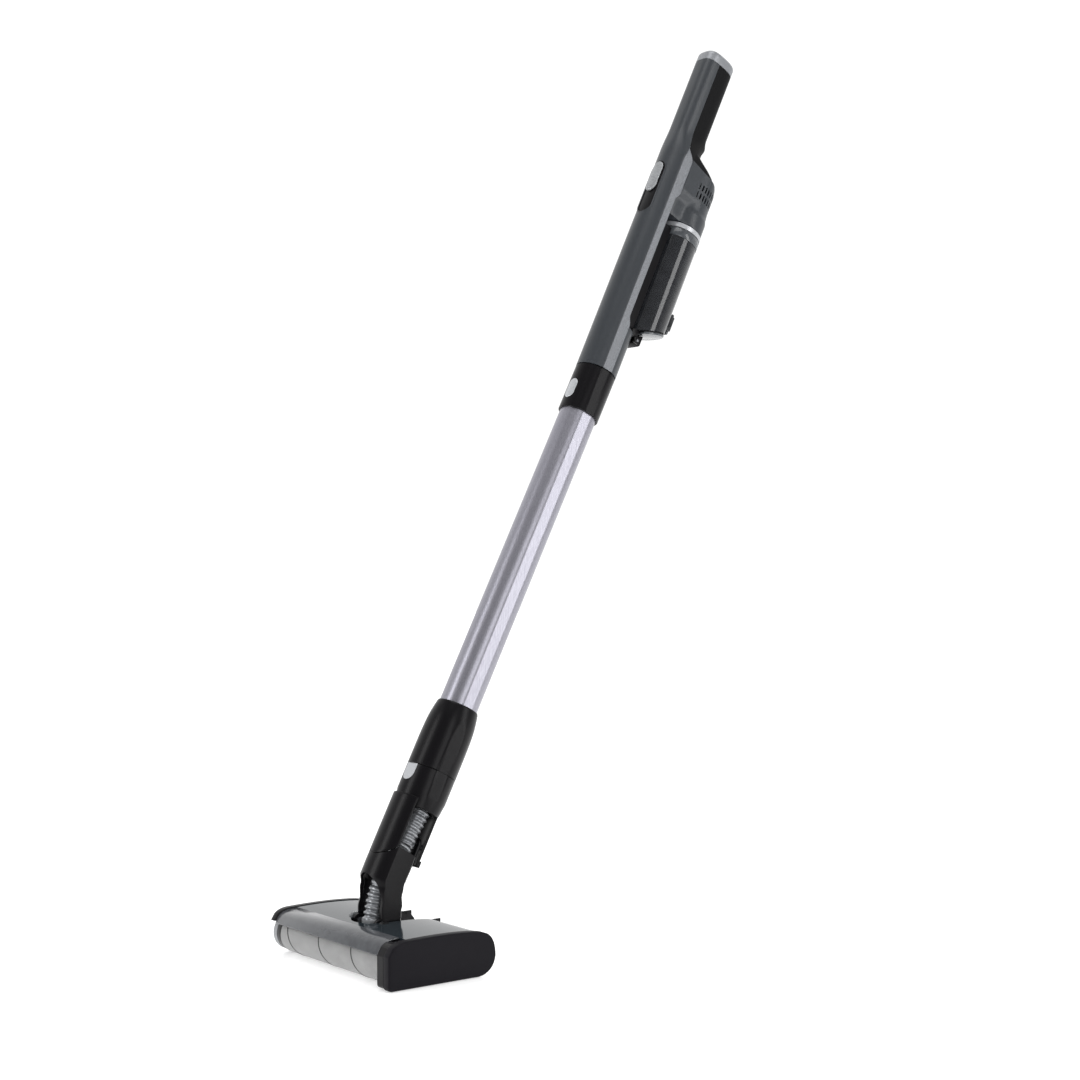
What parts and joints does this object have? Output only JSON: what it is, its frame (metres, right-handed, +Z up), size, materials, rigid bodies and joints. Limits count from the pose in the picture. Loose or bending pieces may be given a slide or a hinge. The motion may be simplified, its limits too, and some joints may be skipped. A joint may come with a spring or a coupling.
{
  "type": "cordless stick vacuum",
  "caption": "Cordless stick vacuum: slim handheld with a clear dust cup, straight metal wand, swivelling neck and a low floor head with a soft driven roller.",
  "frame": {"origin": "middle of the hand grip, on the handheld's own axis", "axes": "+Z up from the floor, -Y towards the front of the floor head, +X to the right seen from the front; the stick leans back 27.3 degrees towards +Y"},
  "size_m": [0.245, 0.5974, 1.0902],
  "materials": {
    "black_plastic": "satin",
    "graphite_plastic": "satin",
    "anodised_tube": "satin",
    "silver_plastic": "satin silver paint",
    "pale_grey_plastic": "satin",
    "smoked_clear_plastic": "clear, smoked",
    "smoked_window_plastic": "clear, smoked",
    "gloss_cover_plastic": "glossy",
    "roller_pile": "velvet pile",
    "soft_rubber": "matt",
    "hose_plastic": "satin, corrugated",
    "steel": "ground",
    "motor_can": "drawn can",
    "cell_wrap": "plastic wrap on a steel can",
    "circuit_board": "lacquered",
    "filter_paper": "pleated paper"
  },
  "bodies": {
    "handheld": {"body_front_shell": "graphite_plastic", "body_rear_shell": "graphite_plastic", "suction_duct": "black_plastic", "charging_contacts": "black_plastic", "battery_cell_1": "cell_wrap", "battery_cell_2": "cell_wrap", "battery_cell_3": "cell_wrap", "battery_cell_4": "cell_wrap", "control_board": "circuit_board", "switch_bezel": "black_plastic", "handle_grip": "black_plastic", "handle_end_cap": "silver_plastic", "motor_housing": "graphite_plastic", "motor_mount_ring": "black_plastic", "fan_motor": "motor_can"},
    "power_switch": {"power_switch": "silver_plastic"},
    "impeller": {"impeller": "pale_grey_plastic"},
    "dust_cup": {"dust_cup_wall": "smoked_clear_plastic", "cup_collar": "silver_plastic", "filter_shroud": "black_plastic", "pleated_filter": "filter_paper", "door_hinge_pin": "steel"},
    "cup_door": {"cup_door": "black_plastic", "door_seal": "soft_rubber"},
    "door_latch": {"door_latch": "black_plastic"},
    "wand": {"wand_tube": "anodised_tube", "wand_lower_cuff": "black_plastic", "wand_upper_cuff": "black_plastic", "wand_wire_channel": "black_plastic", "wand_button_spring": "steel"},
    "wand_release_button": {"wand_release_button": "silver_plastic"},
    "neck": {"connector_barrel": "black_plastic", "connector_front_cover": "black_plastic", "connector_spigot": "black_plastic", "upper_hose": "hose_plastic", "swivel_pin_front": "steel", "swivel_pin_rear": "steel", "neck_button_spring": "steel"},
    "neck_release_button": {"neck_release_button": "silver_plastic"},
    "yoke": {"yoke_frame": "black_plastic", "yoke_cover": "black_plastic", "lower_hose": "hose_plastic"},
    "floor_head": {"head_chassis": "black_plastic", "hose_collar": "pale_grey_plastic", "head_top_cover": "gloss_cover_plastic", "front_window": "smoked_window_plastic", "left_end_cap": "black_plastic", "right_end_cap": "black_plastic", "pivot_pin_left": "steel", "pivot_pin_right": "steel", "rear_squeegee": "soft_rubber", "head_motor": "motor_can", "drive_belt": "soft_rubber"},
    "motor_pulley": {"motor_pulley": "steel"},
    "drive_coupler": {"drive_coupler": "black_plastic"},
    "roller_plug": {"roller_end_plug": "pale_grey_plastic"},
    "roller": {"roller_core": "black_plastic", "roller_sleeve": "roller_pile"},
    "left_wheel": {"rear_wheel_left": "soft_rubber"},
    "right_wheel": {"rear_wheel_right": "soft_rubber"}
  },
  "joints": [
    {"name": "power_switch_slide", "type": "slide", "parent": "handheld", "child": "power_switch", "axis": [0, -0.4384, -0.8988], "range_m": [0, 0.022]},
    {"name": "impeller_spin", "type": "hinge", "parent": "handheld", "child": "impeller", "pos_m": [0, -0.02362, -0.14424], "axis": [0, 0.4384, 0.8988], "continuous": true},
    {"name": "dust_cup_slide", "type": "slide", "parent": "handheld", "child": "dust_cup", "axis": [0, 0.8988, -0.4384], "range_m": [0, 0.08]},
    {"name": "cup_door_hinge", "type": "hinge", "parent": "dust_cup", "child": "cup_door", "pos_m": [0, -0.11811, -0.31289], "axis": [-1, 0, 0], "range_deg": [0, 75]},
    {"name": "door_latch_hinge", "type": "hinge", "parent": "dust_cup", "child": "door_latch", "pos_m": [0, -0.058, -0.28658], "axis": [1, 0, 0], "range_deg": [0, 5], "stiffness_Nm_per_rad": 0.5, "springref_deg": -2.86},
    {"name": "wand_slide", "type": "slide", "parent": "handheld", "child": "wand", "axis": [0, -0.4586, -0.8886], "range_m": [0, 0.08]},
    {"name": "wand_button_press", "type": "slide", "parent": "wand", "child": "wand_release_button", "axis": [0, 0.8886, -0.4586], "range_m": [0, 0.0015], "stiffness_N_per_m": 800, "springref_m": -0.001, "deforming": ["wand_button_spring"]},
    {"name": "neck_slide", "type": "slide", "parent": "wand", "child": "neck", "axis": [0, -0.4586, -0.8886], "range_m": [0, 0.06]},
    {"name": "neck_button_press", "type": "slide", "parent": "neck", "child": "neck_release_button", "axis": [0, 0.8886, -0.4586], "range_m": [0, 0.0018], "stiffness_N_per_m": 800, "springref_m": -0.001, "deforming": ["neck_button_spring"]},
    {"name": "yoke_swivel", "type": "hinge", "parent": "neck", "child": "yoke", "pos_m": [0, -0.44926, -0.88997], "axis": [0, 0.8886, -0.4586], "range_deg": [-30, 30]},
    {"name": "head_pitch", "type": "hinge", "parent": "yoke", "child": "floor_head", "pos_m": [0, -0.49421, -0.97706], "axis": [1, 0, 0], "range_deg": [-27.3, 50]},
    {"name": "pulley_spin", "type": "hinge", "parent": "floor_head", "child": "motor_pulley", "pos_m": [0, -0.46621, -1.00006], "axis": [1, 0, 0], "continuous": true},
    {"name": "coupler_spin", "type": "hinge", "parent": "floor_head", "child": "drive_coupler", "pos_m": [0, -0.52371, -1.00026], "axis": [1, 0, 0], "continuous": true},
    {"name": "plug_slide", "type": "slide", "parent": "floor_head", "child": "roller_plug", "axis": [-1, 0, 0], "range_m": [0, 0.24]},
    {"name": "roller_spin", "type": "hinge", "parent": "roller_plug", "child": "roller", "pos_m": [0, -0.52371, -1.00026], "axis": [1, 0, 0], "continuous": true},
    {"name": "left_wheel_spin", "type": "hinge", "parent": "floor_head", "child": "left_wheel", "pos_m": [-0.07, -0.43021, -1.01406], "axis": [1, 0, 0], "continuous": true},
    {"name": "right_wheel_spin", "type": "hinge", "parent": "floor_head", "child": "right_wheel", "pos_m": [0.07, -0.43021, -1.01406], "axis": [1, 0, 0], "continuous": true}
  ],
  "couplings": [
    {"joint": "pulley_spin", "follows": "roller_spin", "ratio": 1.8333},
    {"joint": "coupler_spin", "follows": "roller_spin", "ratio": 1}
  ]
}
